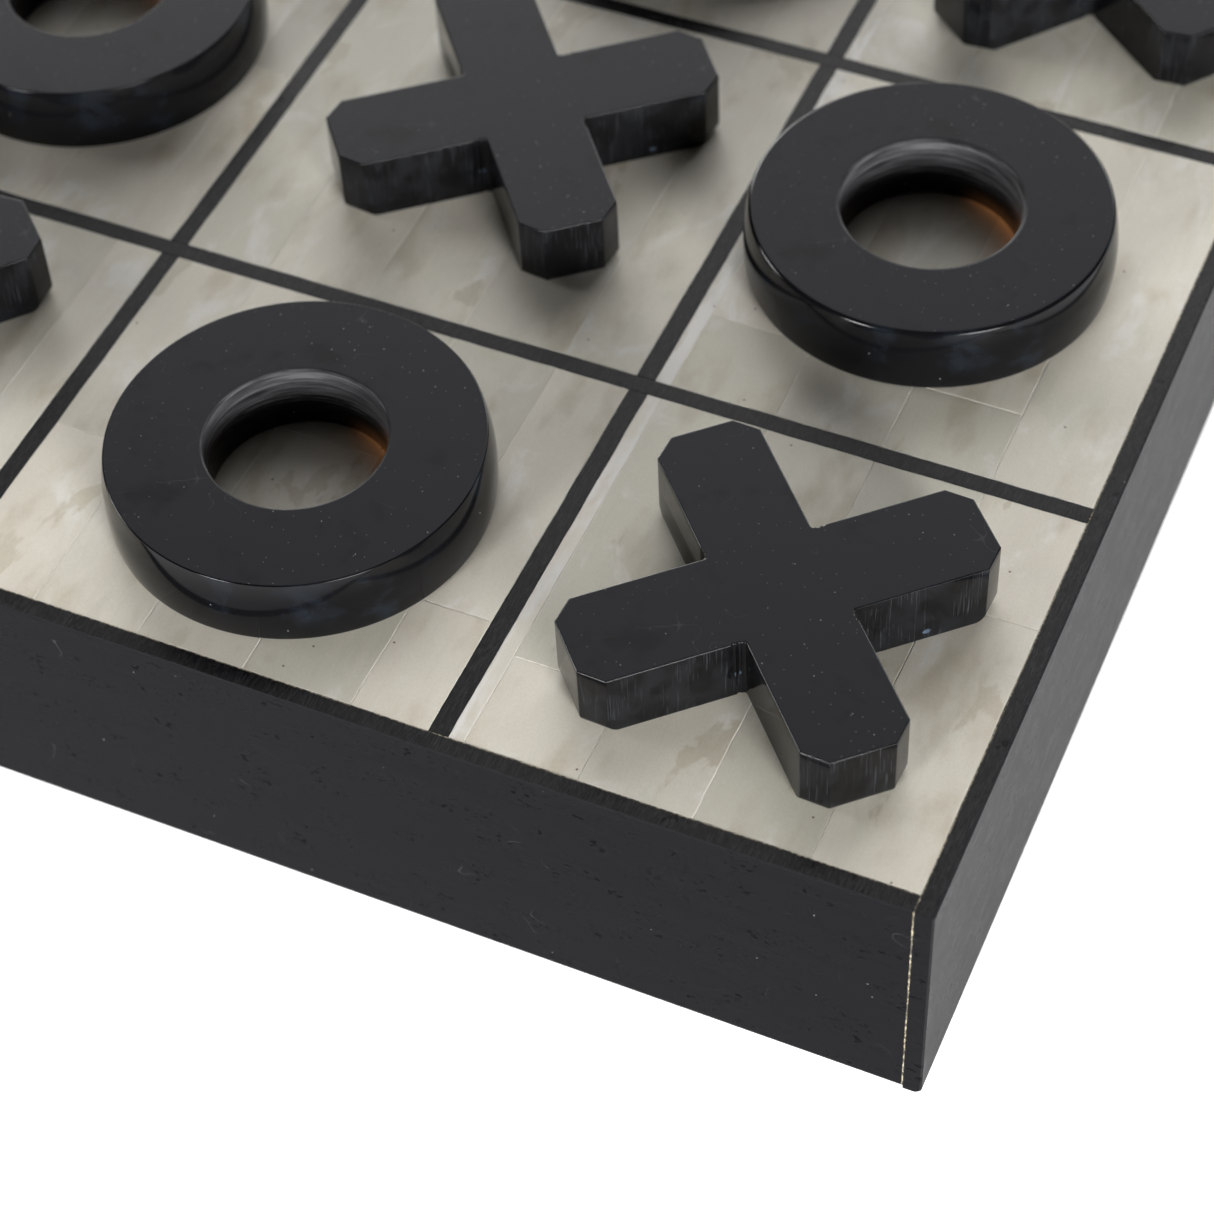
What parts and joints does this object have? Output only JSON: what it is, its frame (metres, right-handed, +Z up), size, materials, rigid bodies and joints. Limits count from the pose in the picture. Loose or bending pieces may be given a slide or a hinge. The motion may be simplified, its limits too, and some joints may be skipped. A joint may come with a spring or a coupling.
{
  "type": "tic tac toe set",
  "caption": "Square inlaid tic tac toe board, a box with pale bone cells and dark grid strips, with loose X and ring-shaped O playing pieces standing on it.",
  "frame": {"origin": "centre of the board's underside, where it rests on the table", "axes": "+X to the right along the front edge, +Y to the back, +Z up out of the playing field"},
  "size_m": [0.254, 0.254, 0.0635],
  "materials": {
    "horn_case": "polished black horn, finely scratched",
    "horn_piece": "black horn, satin on top and polished on the walls",
    "bone": "polished bone, mottled cream and grey-green",
    "glue": "dried resin glue",
    "core_board": "raw fibreboard",
    "felt": "black felt"
  },
  "bodies": {
    "board": {"base_felt": "felt", "bone_cell_back_left": "bone", "bone_cell_back_middle": "bone", "bone_cell_back_right": "bone", "bone_cell_front_left": "bone", "bone_cell_front_middle": "bone", "bone_cell_front_right": "bone", "bone_cell_middle_left": "bone", "bone_cell_middle_middle": "bone", "bone_cell_middle_right": "bone", "border_glue_frame": "glue", "column_strip_left_back": "horn_case", "column_strip_left_front": "horn_case", "column_strip_left_middle": "horn_case", "column_strip_right_back": "horn_case", "column_strip_right_front": "horn_case", "column_strip_right_middle": "horn_case", "core_deck": "core_board", "core_floor": "core_board", "core_rail_back": "core_board", "core_rail_front": "core_board", "core_rail_left": "core_board", "core_rail_right": "core_board", "corner_glue_lines": "glue", "row_strip_back": "horn_case", "row_strip_front": "horn_case", "side_plate_back": "horn_case", "side_plate_front": "horn_case", "side_plate_left": "horn_case", "side_plate_right": "horn_case"},
    "x_front_left": {"x_front_left": "horn_piece"},
    "x_front_right": {"x_front_right": "horn_piece"},
    "x_centre": {"x_centre": "horn_piece"},
    "x_back_left": {"x_back_left": "horn_piece"},
    "x_back_right": {"x_back_right": "horn_piece"},
    "o_front": {"o_front": "horn_piece"},
    "o_left": {"o_left": "horn_piece"},
    "o_right": {"o_right": "horn_piece"},
    "o_back": {"o_back": "horn_piece"}
  },
  "joints": [
    {"name": "x_front_left_lift", "type": "slide", "parent": "board", "child": "x_front_left", "axis": [0, 0, 1], "range_m": [0, 0.05]},
    {"name": "x_front_right_lift", "type": "slide", "parent": "board", "child": "x_front_right", "axis": [0, 0, 1], "range_m": [0, 0.05]},
    {"name": "x_centre_lift", "type": "slide", "parent": "board", "child": "x_centre", "axis": [0, 0, 1], "range_m": [0, 0.05]},
    {"name": "x_back_left_lift", "type": "slide", "parent": "board", "child": "x_back_left", "axis": [0, 0, 1], "range_m": [0, 0.05]},
    {"name": "x_back_right_lift", "type": "slide", "parent": "board", "child": "x_back_right", "axis": [0, 0, 1], "range_m": [0, 0.05]},
    {"name": "o_front_lift", "type": "slide", "parent": "board", "child": "o_front", "axis": [0, 0, 1], "range_m": [0, 0.05]},
    {"name": "o_left_lift", "type": "slide", "parent": "board", "child": "o_left", "axis": [0, 0, 1], "range_m": [0, 0.05]},
    {"name": "o_right_lift", "type": "slide", "parent": "board", "child": "o_right", "axis": [0, 0, 1], "range_m": [0, 0.05]},
    {"name": "o_back_lift", "type": "slide", "parent": "board", "child": "o_back", "axis": [0, 0, 1], "range_m": [0, 0.05]}
  ]
}
